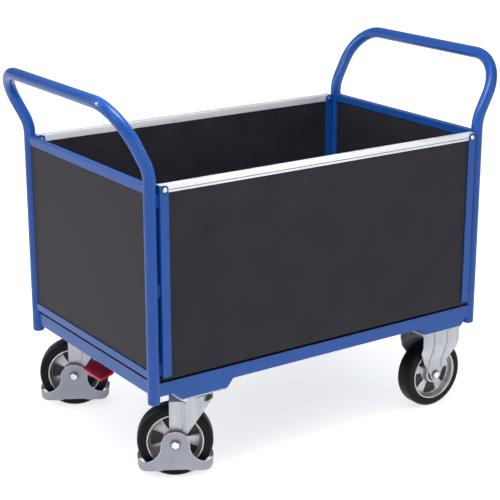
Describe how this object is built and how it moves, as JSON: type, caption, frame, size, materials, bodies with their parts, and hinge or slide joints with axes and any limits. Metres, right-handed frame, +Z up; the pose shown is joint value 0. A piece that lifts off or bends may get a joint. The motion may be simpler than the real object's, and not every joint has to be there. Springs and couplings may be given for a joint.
{
  "type": "four-wall platform trolley",
  "caption": "Platform trolley with four board walls, blue tube end frames with push handles, swivel and fixed castors, and a foot brake.",
  "frame": {"origin": "on the floor under the centre of the chassis, midway between the four posts", "axes": "+X along the length from the swivel castors and brake pedal towards the fixed castors, +Y across, +Z up"},
  "size_m": [1.258, 0.7269, 1.023],
  "materials": {
    "blue_powder_coat": "gloss powder coat",
    "dark_board": "smooth film-faced plywood",
    "deck_board": "film-faced plywood, fine mesh",
    "bright_zinc": "bright galvanised",
    "pressed_zinc": "zinc plated pressing",
    "tyre_rubber": "solid elastic rubber",
    "rim_aluminium": "die cast",
    "guard_plastic": "moulded",
    "zinc_fasteners": "zinc plated",
    "bearing_steel": "ground steel",
    "brake_steel": "black coated",
    "pedal_red": "moulded"
  },
  "bodies": {
    "chassis": {"left_handle_tube": "blue_powder_coat", "left_top_crossbar": "blue_powder_coat", "left_bottom_crossbar": "blue_powder_coat", "left_end_rail": "blue_powder_coat", "left_castor_beam": "blue_powder_coat", "left_front_channel": "blue_powder_coat", "left_rear_channel": "blue_powder_coat", "left_end_panel": "dark_board", "right_handle_tube": "blue_powder_coat", "right_top_crossbar": "blue_powder_coat", "right_bottom_crossbar": "blue_powder_coat", "right_end_rail": "blue_powder_coat", "right_castor_beam": "blue_powder_coat", "right_front_channel": "blue_powder_coat", "right_rear_channel": "blue_powder_coat", "right_end_panel": "dark_board", "front_side_panel": "dark_board", "front_cap_rail": "bright_zinc", "front_side_rail": "blue_powder_coat", "left_front_top_plate": "pressed_zinc", "right_front_bracket": "pressed_zinc", "rear_side_panel": "dark_board", "rear_cap_rail": "bright_zinc", "rear_side_rail": "blue_powder_coat", "left_rear_top_plate": "pressed_zinc", "right_rear_bracket": "pressed_zinc", "channel_tabs": "blue_powder_coat", "post_plugs": "blue_powder_coat", "deck_board": "deck_board", "cap_rail_bolts": "zinc_fasteners", "castor_plate_bolts": "zinc_fasteners", "castor_plate_nuts": "zinc_fasteners", "right_axle_bolts": "zinc_fasteners", "right_axle_nuts": "zinc_fasteners", "brake_shaft_brackets": "brake_steel"},
    "left_front_swivel": {"left_front_fork": "pressed_zinc", "left_front_foot_guard": "guard_plastic", "left_front_axle_bolt": "zinc_fasteners", "left_front_axle_nut": "zinc_fasteners"},
    "left_front_plunger": {"left_front_brake_plunger": "brake_steel"},
    "left_front_wheel": {"left_front_tyre": "tyre_rubber", "left_front_rim": "rim_aluminium", "left_front_bearings": "bearing_steel"},
    "right_front_wheel": {"right_front_tyre": "tyre_rubber", "right_front_rim": "rim_aluminium", "right_front_bearings": "bearing_steel"},
    "left_rear_swivel": {"left_rear_fork": "pressed_zinc", "left_rear_foot_guard": "guard_plastic", "left_rear_axle_bolt": "zinc_fasteners", "left_rear_axle_nut": "zinc_fasteners"},
    "left_rear_plunger": {"left_rear_brake_plunger": "brake_steel"},
    "left_rear_wheel": {"left_rear_tyre": "tyre_rubber", "left_rear_rim": "rim_aluminium", "left_rear_bearings": "bearing_steel"},
    "right_rear_wheel": {"right_rear_tyre": "tyre_rubber", "right_rear_rim": "rim_aluminium", "right_rear_bearings": "bearing_steel"},
    "pedal": {"brake_shaft": "brake_steel", "brake_arm": "brake_steel", "brake_pedal": "pedal_red"}
  },
  "joints": [
    {"name": "brake_pedal_press", "type": "hinge", "parent": "chassis", "child": "pedal", "pos_m": [-0.3695, 0, 0.257], "axis": [0, -1, 0], "range_deg": [0, 15]},
    {"name": "left_front_brake_push", "type": "slide", "parent": "chassis", "child": "left_front_plunger", "axis": [0, 0, -1], "range_m": [0, 0.004]},
    {"name": "left_front_castor_swivel", "type": "hinge", "parent": "chassis", "child": "left_front_swivel", "pos_m": [-0.385, -0.28, 0.222], "axis": [0, 0, 1], "continuous": true},
    {"name": "left_front_wheel_spin", "type": "hinge", "parent": "left_front_swivel", "child": "left_front_wheel", "pos_m": [-0.42786, -0.25425, 0.1], "axis": [0.515, 0.8572, 0], "continuous": true},
    {"name": "right_front_wheel_spin", "type": "hinge", "parent": "chassis", "child": "right_front_wheel", "pos_m": [0.422, -0.28, 0.1], "axis": [0, 1, 0], "continuous": true},
    {"name": "left_rear_brake_push", "type": "slide", "parent": "chassis", "child": "left_rear_plunger", "axis": [0, 0, -1], "range_m": [0, 0.004]},
    {"name": "left_rear_castor_swivel", "type": "hinge", "parent": "chassis", "child": "left_rear_swivel", "pos_m": [-0.385, 0.28, 0.222], "axis": [0, 0, 1], "continuous": true},
    {"name": "left_rear_wheel_spin", "type": "hinge", "parent": "left_rear_swivel", "child": "left_rear_wheel", "pos_m": [-0.42786, 0.30575, 0.1], "axis": [0.515, 0.8572, 0], "continuous": true},
    {"name": "right_rear_wheel_spin", "type": "hinge", "parent": "chassis", "child": "right_rear_wheel", "pos_m": [0.422, 0.28, 0.1], "axis": [0, 1, 0], "continuous": true}
  ],
  "couplings": [
    {"joint": "left_front_brake_push", "follows": "brake_pedal_press", "m_per_rad": 0.015279},
    {"joint": "left_rear_brake_push", "follows": "brake_pedal_press", "m_per_rad": 0.015279}
  ]
}
